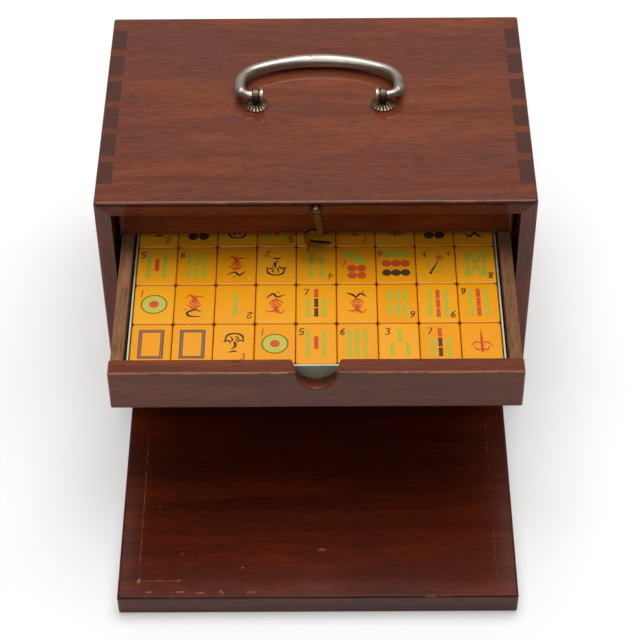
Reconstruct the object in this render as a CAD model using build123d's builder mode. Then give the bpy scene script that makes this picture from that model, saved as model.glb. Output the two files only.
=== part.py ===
"""Mahjong case: a dovetailed hardwood box with five drawers, a loose front panel,
a folding bail handle on top and a swing hook that keeps the panel shut.

The origin is the centre of the underside of the case. +Z is up, the back is at +Y and
the open front at -Y. All sizes are in millimetres. The second drawer stands open and
the front panel lies on the table in front of the case.
"""
import os
from math import asin, atan2, cos, degrees, hypot, sin, sqrt

from build123d import *

# ---------------------------------------------------------------- driving dimensions
# Case carcass
case_width = 243.0
case_depth = 166.0
board = 9.0                   # top, bottom and sides
back_thickness = 7.0
back_rebate = 4.0             # how far the back is let into the other boards
edge_round = 1.5              # rounding of the outer edges
recess = 15.0                 # from the front of the case to the closed drawers
tail_count = 6                # dovetails on each corner
pin_width = 5.5               # between two tails, at the outer face
front_mitre = 16.0            # the corner is mitred this far behind the front
back_pin = 12.4               # full wood behind the last tail
tail_slope = 1.0 / 6.0

# Drawers
drawer_count = 5
open_drawer = 2               # counted from the top
front_height = 27.0
front_thickness = 10.8
front_side_gap = 2.2          # from a drawer front to the side of the opening
drawer_gap = 0.8              # between drawer fronts, and below the top board
bottom_gap = 1.0              # below the lowest drawer front
front_round = 1.2
open_travel = 106.9           # how far the open drawer is pulled out
side_thickness = 6.7
side_setback = 0.9            # from the end of the front to the drawer's side
side_drop = 1.0               # the sides end this far below the top of the front
side_lift = 0.6               # and start this far above its lower edge
side_tenon = 4.0              # length of the side let into the front
drawer_back_thickness = 7.0
back_dado = 3.0               # depth of the drawer back's housing in the sides
rear_gap = 0.6                # between a closed drawer and the back of the case
bottom_lift = 1.8             # drawer bottom above the lower edge of the front
bottom_thickness = 2.6
bottom_groove = 2.0           # depth of the groove that holds the drawer bottom
notch_width = 20.0            # finger notch in the top edge of a front
notch_depth = 12.0
notch_spread = 2.9             # how much wider and deeper it is at the back
notch_corner_round = 1.6

# Runners: strips on the case sides that the drawers hang on
runner_height = 3.0
runner_dado = 2.0             # let into the side of the case
runner_level = 14.0           # middle of the runner above a drawer front's lower edge
runner_clearance = 0.3        # above and below, in the drawer's groove
runner_end_clearance = 1.2    # from the runner to the drawer front
groove_depth = 3.4

# Metal liner tray, tiles, counters and dice
liner_wall = 0.9
liner_gap = 1.2               # to the drawer's sides
liner_end_gap = 0.8           # to the drawer's front and back
liner_drop = 6.5              # rim below the top of the front, level with the tiles
tile_width = 22.15
tile_length = 30.2
tile_height = 15.0
tile_gap = 0.12
tile_chamfer = 0.7
counter_length = 62.0
counter_width = 7.6
counter_height = 2.4
counter_gap = 0.8
counter_columns = 2
counter_layers = 2
counter_layer_gap = 0.1
dice_count = 4
dice_size = 9.0
dice_gap = 3.0

# Front panel and its catch screw
panel_thickness = 14.6
panel_side_gap = 3.75         # to the side of the opening, when shut
panel_top_gap = 1.0           # below the top board, when shut
panel_round = 1.5
panel_distance = 158.3        # from the front of the case to the panel's near edge
catch_neck_radius = 1.5
catch_neck = 2.8
catch_head_radius = 3.0
catch_head = 1.4
catch_shank = 8.0

# Handle
handle_shift = 2.2            # the handle stands this far right of the middle
handle_y = 0.5
post_spacing = 72.8
pivot_height = 7.1            # pivot above the top board
bail_half_width = 45.6        # all bail sizes are of its centre line
bail_reach = 35.2
crown_radius = 80.5
shoulder_radius = 17.8
bend_radius = 7.0
bail_mid_radius = 4.0
bail_shoulder_radius = 3.3
bail_shoulder_share = 0.62    # where the shoulder is, as a share of half the bail's length
bail_end_radius = 2.6
bail_rest_gap = 0.3           # between the folded bail and the top board
eye_radius = 4.2
eye_width = 4.2
eye_round = 0.8
eye_clearance = 0.05          # radial, round the bail's end
cap_radius = 3.9
cap_thickness = 2.0
cap_gap = 0.3
cap_round = 0.5
post_shank_radius = 2.0
post_shank = 7.0              # length in the top board
rosette_radius = 7.0
rosette_rim = 0.9
rosette_height = 2.6
rosette_crown_radius = 3.2
flute_count = 20
flute_radius = 0.5

# Swing hook and its screw
hook_drop = 4.5               # screw below the top of the case
hook_standoff = 0.6
hook_thickness = 1.8
hook_eye_radius = 2.9
hook_pivot_radius = 1.6
hook_clearance = 0.05
hook_reach = 20.2             # from the screw to the middle of the hook's bend
hook_bend_outer = 6.2
hook_bend_inner = 3.0
hook_bend_shift = -0.6        # middle of the bend, right of the screw
hook_bend_start = 30.0        # degrees from +X, anticlockwise
hook_bend_turn = 240.0
hook_shank_top = 4.1          # width of the shank at the eye
hook_shank_width = 3.2        # and at its foot
hook_shank_foot = 2.4         # the foot meets the bend this far right of the screw
hook_shank_rise = 4.2         # and this far above the middle of the bend
hook_tip = (8.1, -4.0)        # from the screw in X, from the middle of the bend in Z
hook_tail = ((-4.6, -3.2), (-2.4, -4.6), (-3.6, -10.0), (-4.4, -9.4))  # from the bend's middle
screw_head_radius = 3.1
screw_head_height = 1.6
screw_head_gap = 0.3
screw_head_round = 1.2
screw_slot_width = 0.7
screw_slot_depth = 0.6
screw_shank_radius = 1.5
screw_shank = 12.0

# ---------------------------------------------------------------- derived places
half_width = case_width / 2
front_y = -case_depth / 2
back_y = case_depth / 2
opening_half = half_width - board
drawer_pitch = front_height + drawer_gap
opening_height = drawer_count * drawer_pitch + bottom_gap
case_height = opening_height + 2 * board
opening_top = case_height - board
closed_y = front_y + recess                       # face of a closed drawer
case_back_y = back_y - back_thickness             # inner face of the back

front_half = opening_half - front_side_gap
side_outer = front_half - side_setback
side_inner = side_outer - side_thickness
drawer_length = case_back_y - rear_gap - closed_y  # front face to back of the drawer
back_inner = drawer_length - drawer_back_thickness
side_top = front_height - side_drop
bottom_top = bottom_lift + bottom_thickness
liner_half = side_inner - liner_gap
liner_front = front_thickness + liner_end_gap
liner_back = back_inner - liner_end_gap
liner_top = front_height - liner_drop
tray_half = liner_half - liner_wall
tray_length = liner_back - liner_front - 2 * liner_wall
tray_middle = (liner_front + liner_back) / 2
tray_floor = bottom_top + liner_wall
tile_columns = int((2 * tray_half + tile_gap) // (tile_width + tile_gap))
tile_rows = int((tray_length + tile_gap) // (tile_length + tile_gap))

pivot_z = case_height + pivot_height
bail_drop = asin((pivot_height - bail_mid_radius - bail_rest_gap) / bail_reach)
hook_z = case_height - hook_drop

panel_half = opening_half - panel_side_gap
panel_length = opening_height - panel_top_gap
catch_along = hook_z - hook_reach - board         # catch above the panel's lower edge
catch_height = catch_neck + catch_head
lean_run = catch_along - catch_head_radius - panel_round
lean_rise = catch_height + panel_round
panel_tilt = atan2(lean_rise, lean_run) - asin(panel_round / hypot(lean_rise, lean_run))
panel_sink = panel_round * (sin(panel_tilt) + cos(panel_tilt) - 1)

bottom_up = (Align.CENTER, Align.CENTER, Align.MIN)
centred_back_up = (Align.CENTER, Align.MIN, Align.MIN)
right_back_up = (Align.MIN, Align.MIN, Align.MIN)


def drawer_z(number):
    """Height of the lower edge of a drawer's front; drawer 1 is the top one."""
    return board + bottom_gap + (drawer_count - number) * drawer_pitch


def save(part, name):
    """Label a finished piece and write it as one STEP file."""
    part.label = name
    export_step(part, f"parts/{name}.step")


def placed(part, x, y, z):
    """A copy of a part, moved."""
    with BuildPart() as copy:
        with Locations((x, y, z)):
            add(part)
    return copy.part


def mirrored(part):
    """The right-hand twin of a left-hand part."""
    with BuildPart() as twin:
        add(part)
        mirror(about=Plane.YZ, mode=Mode.REPLACE)
    return twin.part


os.makedirs("parts", exist_ok=True)

# ---------------------------------------------------------------- carcass
# The boards are cut from one rounded envelope, so their outer edges run through.
with BuildPart() as envelope:
    Box(case_width, case_depth, case_height, align=bottom_up)
    fillet(envelope.edges(), edge_round)

# Left end of the upper corner: six tails and the mitre, which belong to the side board.
tail_zone = case_depth - front_mitre - back_pin
tail_width = (tail_zone - (tail_count - 1) * pin_width) / tail_count
with BuildPart() as top_joint:
    with BuildSketch(Plane.YZ.offset(-half_width)):
        for i in range(tail_count):
            tail_front = front_y + front_mitre + i * (tail_width + pin_width)
            tail_back = tail_front + tail_width
            with BuildLine():
                Polyline(
                    (tail_front + board * tail_slope, opening_top),
                    (tail_back - board * tail_slope, opening_top),
                    (tail_back, case_height),
                    (tail_front, case_height),
                    close=True,
                )
            make_face()
    extrude(amount=board)
    with BuildSketch(Plane.XZ.offset(-front_y)):
        with BuildLine():
            Polyline(
                (-half_width, case_height),
                (-half_width, opening_top),
                (-opening_half, opening_top),
                close=True,
            )
        make_face()
    extrude(amount=-front_mitre)

with BuildPart() as bottom_joint:
    add(top_joint.part)
    mirror(about=Plane.XY.offset(case_height / 2), mode=Mode.REPLACE)

with BuildPart() as back_board:
    with Locations((0, back_y, board - back_rebate)):
        Box(
            2 * (opening_half + back_rebate),
            back_thickness,
            opening_height + 2 * back_rebate,
            align=(Align.CENTER, Align.MAX, Align.MIN),
        )
save(back_board.part, "back_board")

with BuildPart() as bottom_board:
    Box(case_width, case_depth, board, align=bottom_up)
    add(bottom_joint.part, mode=Mode.SUBTRACT)
    add(mirrored(bottom_joint.part), mode=Mode.SUBTRACT)
    add(back_board.part, mode=Mode.SUBTRACT)
    add(envelope.part, mode=Mode.INTERSECT)
save(bottom_board.part, "bottom_board")

post_places = [(handle_shift + s * post_spacing / 2, handle_y) for s in (-1, 1)]
with BuildPart() as top_board:
    with Locations((0, 0, opening_top)):
        Box(case_width, case_depth, board, align=bottom_up)
    add(top_joint.part, mode=Mode.SUBTRACT)
    add(mirrored(top_joint.part), mode=Mode.SUBTRACT)
    add(back_board.part, mode=Mode.SUBTRACT)
    add(envelope.part, mode=Mode.INTERSECT)
    with Locations(*[(x, y, case_height) for x, y in post_places]):
        Hole(post_shank_radius, post_shank)
    with Locations(Plane(origin=(0, front_y, hook_z), z_dir=(0, -1, 0))):
        Hole(screw_shank_radius, screw_shank)
save(top_board.part, "top_board")

runner_front = closed_y + front_thickness + runner_end_clearance
runner_length = case_back_y - runner_front
runner_width = runner_dado + (opening_half - side_outer) + groove_depth - runner_clearance
with BuildPart() as left_runners:
    for number in range(1, drawer_count + 1):
        runner_z = drawer_z(number) + runner_level
        with Locations((-opening_half - runner_dado, runner_front, runner_z)):
            Box(
                runner_width,
                runner_length,
                runner_height,
                align=(Align.MIN, Align.MIN, Align.CENTER),
            )
save(left_runners.part, "left_runners")
save(mirrored(left_runners.part), "right_runners")

with BuildPart() as left_side:
    with Locations((-half_width, front_y, board)):
        Box(board, case_depth, opening_height, align=right_back_up)
    add(top_joint.part)
    add(bottom_joint.part)
    add(back_board.part, mode=Mode.SUBTRACT)
    add(left_runners.part, mode=Mode.SUBTRACT)
    add(envelope.part, mode=Mode.INTERSECT)
save(left_side.part, "left_side")
save(mirrored(left_side.part), "right_side")

# ---------------------------------------------------------------- drawers
# Each piece is made once, with the middle of the front's lower edge as its origin.
with BuildPart() as side_blank:
    with Locations((-side_outer, front_thickness - side_tenon, side_lift)):
        Box(
            side_thickness,
            drawer_length - front_thickness + side_tenon,
            side_top - side_lift,
            align=right_back_up,
        )

with BuildPart() as drawer_back:
    with Locations((0, back_inner, bottom_top)):
        Box(
            2 * (side_inner + back_dado),
            drawer_back_thickness,
            side_top - bottom_top,
            align=centred_back_up,
        )

with BuildPart() as drawer_bottom:
    with Locations((0, front_thickness - bottom_groove, bottom_lift)):
        Box(
            2 * (side_inner + bottom_groove),
            drawer_length - front_thickness + bottom_groove,
            bottom_thickness,
            align=centred_back_up,
        )

with BuildPart() as drawer_side:
    add(side_blank.part)
    add(drawer_back.part, mode=Mode.SUBTRACT)
    add(drawer_bottom.part, mode=Mode.SUBTRACT)
    with Locations((-side_outer, front_thickness, runner_level)):
        Box(
            groove_depth,
            drawer_length,
            runner_height + 2 * runner_clearance,
            align=(Align.MIN, Align.MIN, Align.CENTER),
            mode=Mode.SUBTRACT,
        )

# The notch is a funnel: half a cone with upright sides above it, wider towards the tray.
notch_radius = notch_width / 2
with BuildPart() as notch:
    with BuildSketch(Plane.XZ):
        with Locations((0, front_height - notch_depth + notch_radius)):
            Circle(notch_radius)
            Rectangle(notch_width, front_height, align=(Align.CENTER, Align.MIN))
    extrude(amount=-front_thickness, taper=-degrees(atan2(notch_spread, front_thickness)))

with BuildPart() as drawer_front:
    Box(2 * front_half, front_thickness, front_height, align=centred_back_up)
    add(notch.part, mode=Mode.SUBTRACT)
    notch_corners = drawer_front.edges().group_by(Axis.Z)[-1].filter_by(
        lambda edge: abs(edge.center().X) < notch_width and abs((edge @ 1 - edge @ 0).Y) > 0.1
    )
    fillet(notch_corners, notch_corner_round)
    corner_edges = drawer_front.edges().filter_by(Axis.Y).filter_by(
        lambda edge: abs(edge.center().X) > front_half - front_round
    )
    rims = drawer_front.edges().filter_by(lambda edge: abs((edge @ 1 - edge @ 0).Y) < 0.01)
    fillet(corner_edges + rims, front_round)
    add(side_blank.part, mode=Mode.SUBTRACT)
    add(mirrored(side_blank.part), mode=Mode.SUBTRACT)
    add(drawer_bottom.part, mode=Mode.SUBTRACT)

with BuildPart() as liner:
    with Locations((0, liner_front, bottom_top)):
        Box(2 * liner_half, liner_back - liner_front, liner_top - bottom_top, align=centred_back_up)
    with Locations((0, liner_front + liner_wall, tray_floor)):
        Box(2 * tray_half, tray_length, liner_top, align=centred_back_up, mode=Mode.SUBTRACT)

with BuildPart() as tile:
    Box(tile_width, tile_length, tile_height, align=bottom_up)
    chamfer(tile.edges(), tile_chamfer)

with BuildPart() as tile_set:
    with Locations((0, tray_middle, tray_floor)):
        with GridLocations(tile_width + tile_gap, tile_length + tile_gap, tile_columns, tile_rows):
            add(tile.part)

# The lowest drawer holds the counting sticks, in columns, with a row of dice beside them.
counter_pitch = counter_width + counter_gap
counter_rows = int((tray_length - 2 * counter_gap) // counter_pitch)
counter_x = -tray_half + counter_gap + counter_columns * (counter_length + counter_gap) / 2
with BuildPart() as counter_set:
    for layer in range(counter_layers):
        layer_z = tray_floor + layer * (counter_height + counter_layer_gap)
        with Locations((counter_x, tray_middle, layer_z)):
            with GridLocations(
                counter_length + counter_gap, counter_pitch, counter_columns, counter_rows
            ):
                Box(counter_length, counter_width, counter_height, align=bottom_up)

dice_x = tray_half - dice_gap - dice_size
with BuildPart() as dice_set:
    with Locations((dice_x, tray_middle, tray_floor)):
        with GridLocations(dice_size, dice_size + dice_gap, 1, dice_count):
            Box(dice_size, dice_size, dice_size, align=bottom_up)
    chamfer(dice_set.edges(), tile_chamfer)

drawer_pieces = {
    "front": drawer_front.part,
    "left_side": drawer_side.part,
    "right_side": mirrored(drawer_side.part),
    "back": drawer_back.part,
    "bottom": drawer_bottom.part,
    "liner": liner.part,
}
for number in range(1, drawer_count + 1):
    travel = open_travel if number == open_drawer else 0.0
    place = (0, closed_y - travel, drawer_z(number))
    pieces = dict(drawer_pieces)
    if number < drawer_count:
        pieces["tiles"] = tile_set.part
    else:
        pieces["counters"] = counter_set.part
        pieces["dice"] = dice_set.part
    for piece_name, piece in pieces.items():
        save(placed(piece, *place), f"drawer_{number}_{piece_name}")

# ---------------------------------------------------------------- front panel
# It lies with its outer face down, propped at the far end on the head of its catch screw.
panel_plane = Plane(
    origin=(0, front_y - panel_distance, -panel_sink),
    x_dir=(1, 0, 0),
    z_dir=(0, -sin(panel_tilt), cos(panel_tilt)),
)
catch_plane = Plane(
    origin=panel_plane.from_local_coords((0, catch_along, 0)),
    x_dir=panel_plane.x_dir,
    z_dir=-panel_plane.z_dir,
)
with BuildPart() as catch_screw:
    with BuildSketch(catch_plane.offset(-catch_shank)):
        Circle(catch_neck_radius)
    extrude(amount=catch_shank + catch_neck)
    with BuildSketch(catch_plane.offset(catch_neck)):
        Circle(catch_head_radius)
    extrude(amount=catch_head)
save(catch_screw.part, "catch_screw")

with BuildPart() as front_panel:
    with BuildSketch(panel_plane):
        with Locations((0, panel_length / 2)):
            Rectangle(2 * panel_half, panel_length)
    extrude(amount=panel_thickness)
    fillet(front_panel.edges(), panel_round)
    add(catch_screw.part, mode=Mode.SUBTRACT)
save(front_panel.part, "front_panel")

# ---------------------------------------------------------------- handle
# The bail lies folded back, a little below level, almost touching the top board.
bail_plane = Plane(
    origin=(handle_shift, handle_y, pivot_z),
    x_dir=(1, 0, 0),
    z_dir=(0, sin(bail_drop), cos(bail_drop)),
)
crown_y = bail_reach - crown_radius
shoulder_x = bail_half_width - shoulder_radius
shoulder_y = crown_y + sqrt((crown_radius - shoulder_radius) ** 2 - shoulder_x**2)
shoulder_angle = degrees(atan2(shoulder_y - crown_y, shoulder_x))
pin_start = bail_half_width - bend_radius
eye_inner = post_spacing / 2 - eye_width / 2
cap_end = eye_inner - cap_gap - cap_thickness

# Sections along the half: position along the centre line, and radius.
bail_sections = [
    (0.0, bail_mid_radius),
    (bail_shoulder_share, bail_shoulder_radius),
    (1.0, bail_end_radius),
]
with BuildPart() as half_bail:
    with BuildLine(bail_plane) as half_path:
        CenterArc((0, crown_y), crown_radius, 90, shoulder_angle - 90)
        CenterArc((shoulder_x, shoulder_y), shoulder_radius, shoulder_angle, -shoulder_angle)
        Line((bail_half_width, shoulder_y), (bail_half_width, bend_radius))
        CenterArc((pin_start, bend_radius), bend_radius, 0, -90)
    centre_line = half_path.wires()[0]
    for position, radius in bail_sections:
        with BuildSketch(Plane(origin=centre_line @ position, z_dir=centre_line % position)):
            Circle(radius)
    sweep(path=centre_line, multisection=True)
    with BuildSketch(Plane.YZ.offset(handle_shift + pin_start)):
        with Locations((handle_y, pivot_z)):
            Circle(bail_end_radius)
    extrude(amount=cap_end - pin_start)

with BuildPart() as handle_bail:
    add(half_bail.part)
    mirror(about=Plane.YZ.offset(handle_shift))
save(handle_bail.part, "handle_bail")

# Flat heads on the bail's ends keep it in the eyes.
with BuildPart() as handle_end_caps:
    with BuildSketch(Plane.YZ.offset(handle_shift + cap_end)):
        with Locations((handle_y, pivot_z)):
            Circle(cap_radius)
            Circle(bail_end_radius, mode=Mode.SUBTRACT)
    extrude(amount=cap_thickness)
    cap_edges = handle_end_caps.edges().filter_by(GeomType.CIRCLE)
    fillet(cap_edges.group_by(SortBy.RADIUS)[-1], cap_round)
    mirror(about=Plane.YZ.offset(handle_shift))
save(handle_end_caps.part, "handle_end_caps")

# Eye post: a ring round the bail's end on a neck, with a shank let into the top board.
with BuildPart() as post:
    with BuildSketch(Plane.YZ.offset(-eye_width / 2)):
        with Locations((0, pivot_height)):
            Circle(eye_radius)
    extrude(amount=eye_width)
    fillet(post.edges().filter_by(GeomType.CIRCLE), eye_round)
    with BuildSketch(Plane.XY.offset(-post_shank)):
        Circle(post_shank_radius)
    extrude(amount=post_shank + pivot_height - bail_end_radius)
    with BuildSketch(Plane.YZ.offset(-eye_width / 2)):
        with Locations((0, pivot_height)):
            Circle(bail_end_radius + eye_clearance)
    extrude(amount=eye_width, mode=Mode.SUBTRACT)

# Rosette: a domed washer with radial flutes, under the post's neck.
flute_slope = degrees(atan2(rosette_height - rosette_rim, rosette_radius - rosette_crown_radius))
flute_middle = (rosette_radius + rosette_crown_radius) / 2
with BuildPart() as rosette:
    with BuildSketch(Plane.XZ):
        with BuildLine():
            Polyline(
                (post_shank_radius, rosette_height),
                (post_shank_radius, 0),
                (rosette_radius, 0),
                (rosette_radius, rosette_rim),
                (rosette_crown_radius, rosette_height),
                close=True,
            )
        make_face()
    revolve(axis=Axis.Z)
    with Locations((0, 0, (rosette_height + rosette_rim) / 2)):
        with PolarLocations(flute_middle, flute_count):
            Cylinder(
                flute_radius,
                rosette_radius,
                rotation=(0, 90 + flute_slope, 0),
                mode=Mode.SUBTRACT,
            )

for side_name, (x, y) in zip(("left", "right"), post_places):
    save(placed(post.part, x, y, case_height), f"handle_{side_name}_post")
    save(placed(rosette.part, x, y, case_height), f"handle_{side_name}_rosette")

# ---------------------------------------------------------------- swing hook
# A flat hook cut from plate, hanging from a round-headed screw in the top board's edge.
hook_plane = Plane(origin=(0, front_y - hook_standoff, hook_z), x_dir=(1, 0, 0), z_dir=(0, -1, 0))
with BuildPart() as hook_latch:
    with BuildSketch(hook_plane):
        Circle(hook_eye_radius)
        with BuildLine():
            Polyline(
                (-hook_shank_top / 2, 0),
                (hook_shank_top / 2, 0),
                (hook_shank_foot + hook_shank_width / 2, hook_shank_rise - hook_reach),
                (hook_shank_foot - hook_shank_width / 2, hook_shank_rise - hook_reach),
                close=True,
            )
        make_face()
        with BuildLine():
            bend = (hook_bend_shift, -hook_reach)
            outer = CenterArc(bend, hook_bend_outer, hook_bend_start, hook_bend_turn)
            inner = CenterArc(bend, hook_bend_inner, hook_bend_start, hook_bend_turn)
            tip = (hook_tip[0], hook_tip[1] - hook_reach)
            Line(outer @ 0, inner @ 0)
            Line(outer @ 1, tip)
            Line(inner @ 1, tip)
        make_face()
        with BuildLine():
            Polyline(*[(hook_bend_shift + x, z - hook_reach) for x, z in hook_tail], close=True)
        make_face()
        Circle(hook_pivot_radius, mode=Mode.SUBTRACT)
    extrude(amount=hook_thickness)
save(hook_latch.part, "hook_latch")

with BuildPart() as hook_screw:
    with BuildSketch(hook_plane.offset(-hook_standoff - screw_shank)):
        Circle(screw_shank_radius)
    extrude(amount=screw_shank + hook_standoff)
    with BuildSketch(hook_plane):
        Circle(hook_pivot_radius - hook_clearance)
    extrude(amount=hook_thickness + screw_head_gap)
    with BuildSketch(hook_plane.offset(hook_thickness + screw_head_gap)):
        Circle(screw_head_radius)
    extrude(amount=screw_head_height)
    fillet(hook_screw.edges().group_by(Axis.Y)[0], screw_head_round)
    with BuildSketch(hook_plane.offset(hook_thickness + screw_head_gap + screw_head_height)):
        Rectangle(2 * screw_head_radius, screw_slot_width)
    extrude(amount=-screw_slot_depth, mode=Mode.SUBTRACT)
save(hook_screw.part, "hook_screw")
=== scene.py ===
# %% [markdown]
# # A mahjong case
# The joinery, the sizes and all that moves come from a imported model, the frame. This notebook
# gives each piece its finish: old varnished hardwood, planed drawer wood, tinned sheet, nickel,
# aged brass and butterscotch-coloured tiles. Pieces that need softer edges or painted marks
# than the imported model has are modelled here, in metres, exactly where the frame holds them.

# %% Load the frame
import math
import random

import bmesh
import bpy
from mathutils import Matrix, Vector


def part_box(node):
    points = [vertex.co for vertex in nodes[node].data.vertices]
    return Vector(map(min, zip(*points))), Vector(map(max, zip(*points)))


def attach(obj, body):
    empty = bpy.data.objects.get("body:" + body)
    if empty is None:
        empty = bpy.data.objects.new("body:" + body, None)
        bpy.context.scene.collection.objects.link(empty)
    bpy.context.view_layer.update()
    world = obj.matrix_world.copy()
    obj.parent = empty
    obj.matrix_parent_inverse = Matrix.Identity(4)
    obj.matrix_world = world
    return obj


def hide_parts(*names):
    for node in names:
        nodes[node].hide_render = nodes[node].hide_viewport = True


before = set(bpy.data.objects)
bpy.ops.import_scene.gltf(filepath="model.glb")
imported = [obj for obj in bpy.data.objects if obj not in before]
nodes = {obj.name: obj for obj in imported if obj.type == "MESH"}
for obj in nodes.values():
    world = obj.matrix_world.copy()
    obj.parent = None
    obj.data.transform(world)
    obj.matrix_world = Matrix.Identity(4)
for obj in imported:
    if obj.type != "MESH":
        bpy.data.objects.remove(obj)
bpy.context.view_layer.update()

MM = 0.001
print("nodes:", len(nodes))

# %% [markdown]
# ## Camera
# The case is seen from the front and from above, with a long lens, so that its upright edges
# lean only a little. A camera is easiest to place by three turns: yaw about the upright axis,
# pitch down, and roll about its own line of sight. Its three axes are worked out from them.

# %% Camera
def new_object(name, data):
    """A new object, put in the scene."""
    made = bpy.data.objects.new(name, data)
    bpy.context.scene.collection.objects.link(made)
    return made


eye = Vector((6.0, -889.0, 889.1)) * MM
yaw = math.radians(-0.30)
pitch = math.radians(45.58)
roll = math.radians(-0.53)
lens_mm = 112.2
sensor_mm = 36.0

level_forward = Vector((math.sin(yaw), math.cos(yaw), 0.0))
forward = math.cos(pitch) * level_forward - math.sin(pitch) * Vector((0.0, 0.0, 1.0))
level_right = Vector((math.cos(yaw), -math.sin(yaw), 0.0))
level_up = level_right.cross(forward)
camera_right = math.cos(roll) * level_right + math.sin(roll) * level_up
camera_up = math.cos(roll) * level_up - math.sin(roll) * level_right

camera_data = bpy.data.cameras.new("camera")
camera_data.lens = lens_mm
camera_data.sensor_width = sensor_mm
camera = new_object("camera", camera_data)
camera.matrix_world = (
    Matrix.Translation(eye)
    @ Matrix((camera_right, camera_up, -forward)).transposed().to_4x4()
)
bpy.context.scene.camera = camera
print("camera at", [round(part, 3) for part in eye])

# %% [markdown]
# ## Shader helpers
# A finish is a small graph of shader nodes. Writing a graph is mostly the same three steps:
# add a node, set it, and feed one socket from another. These helpers do the three steps in
# one line each, so that the finishes below read like recipes.

# %% Shader helpers
def feed(tree, node, inputs):
    """Gives each input of a node a value, or the socket that feeds it."""
    for name, value in inputs.items():
        if isinstance(value, bpy.types.NodeSocket):
            tree.links.new(value, node.inputs[name])
        else:
            node.inputs[name].default_value = value


def add_node(tree, kind, inputs=None, **settings):
    """A new shader node."""
    made = tree.nodes.new("ShaderNode" + kind)
    for name, value in settings.items():
        setattr(made, name, value)
    feed(tree, made, inputs or {})
    return made


def where(tree):
    """Each point's place in metres: as one vector, and then as X, Y and Z."""
    place = add_node(tree, "TexCoord").outputs["Object"]
    return place, *add_node(tree, "SeparateXYZ", {0: place}).outputs


def mix(tree, amount, first, second):
    """A colour between two others."""
    return add_node(tree, "Mix", {0: amount, 6: first, 7: second}, data_type="RGBA").outputs[2]


def remap(tree, value, low, high, new_low=0.0, new_high=1.0):
    """A value stretched from one range to another, and kept inside the new one."""
    sockets = {
        "Value": value, "From Min": low, "From Max": high, "To Min": new_low, "To Max": new_high,
    }
    return add_node(tree, "MapRange", sockets).outputs["Result"]


def maths(tree, operation, *values):
    """One sum, product or comparison."""
    return add_node(tree, "Math", dict(enumerate(values)), operation=operation).outputs[0]


def product(tree, first, *others):
    """Several values multiplied together."""
    for other in others:
        first = maths(tree, "MULTIPLY", first, other)
    return first


def noise(tree, vector, scale, detail=3.0, roughness=0.5, output="Fac"):
    """Cloudy noise; scale counts its blobs in a metre."""
    sockets = {"Vector": vector, "Scale": scale, "Detail": detail, "Roughness": roughness}
    return add_node(tree, "TexNoise", sockets).outputs[output]


def bump(tree, height, strength, distance):
    """The surface's direction, tilted by small rises and hollows."""
    sockets = {"Height": height, "Strength": strength, "Distance": distance}
    return add_node(tree, "Bump", sockets).outputs["Normal"]


def rgb(red, green, blue):
    """A colour in linear light, with its alpha."""
    return (red, green, blue, 1.0)


def start_finish(name):
    """A new material, its node tree and its shader."""
    made = bpy.data.materials.new(name)
    made.use_nodes = True
    return made, made.node_tree, made.node_tree.nodes["Principled BSDF"]


# %% [markdown]
# ## Studio
# Varnish and nickel show what is round them, so the studio matters as much as the lamps. One
# wide soft lamp hangs over the case, a little behind it. It lights the lid and the tiles
# squarely, puts a bright line on each rounded edge, and leaves the panel in the shade of the
# drawer. A weaker one in front, high up, reaches in under the lid. The sky is darkest behind
# the camera, which draws a dark line under each bright one, and palest where the lid mirrors
# it, so that the handle shows as a deeper red in the varnish below it. The floor is a pale
# sheet, a little brighter to the eye than to the light it throws back.

# %% Studio
world = bpy.data.worlds.new("studio")
world.use_nodes = True
bpy.context.scene.world = world
sky = world.node_tree
way = add_node(sky, "SeparateXYZ", {0: add_node(sky, "TexCoord").outputs["Generated"]})
front_to_back = remap(sky, way.outputs["Y"], -0.6, 0.1, 0.045, 0.20)
mirrored_band = remap(sky, way.outputs["Y"], 0.35, 0.55, 0.0, 0.20)
overhead = remap(sky, way.outputs["Z"], 0.8, 0.98, 0.0, 0.35)
backdrop = sky.nodes["Background"]
backdrop.inputs["Color"].default_value = rgb(1.0, 0.99, 0.98)
strength = maths(sky, "ADD", maths(sky, "ADD", front_to_back, mirrored_band), overhead)
sky.links.new(strength, backdrop.inputs["Strength"])
bpy.context.scene.view_settings.view_transform = "Standard"

# Each lamp: where it hangs, how wide it is in metres, and its power in watts.
lamps = {
    "softbox": ((0.1, 0.2, 1.6), 1.3, 19.0),
    "front_softbox": ((-0.25, -1.15, 1.35), 0.7, 4.6),
}
for lamp_name, (lamp_place, lamp_size, watts) in lamps.items():
    lamp_data = bpy.data.lights.new(lamp_name, "AREA")
    lamp_data.size = lamp_size
    lamp_data.energy = watts
    lamp = new_object(lamp_name, lamp_data)
    lamp.location = lamp_place
    lamp.rotation_euler = Vector(lamp_place).to_track_quat("Z", "Y").to_euler()

floor_half = 20.0
floor_mesh = bpy.data.meshes.new("floor")
sheet = bmesh.new()
bmesh.ops.create_grid(sheet, x_segments=1, y_segments=1, size=floor_half)
bmesh.ops.translate(sheet, verts=sheet.verts, vec=(0, 0, -0.1 * MM))
sheet.to_mesh(floor_mesh)
sheet.free()
floor = new_object("floor", floor_mesh)

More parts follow.
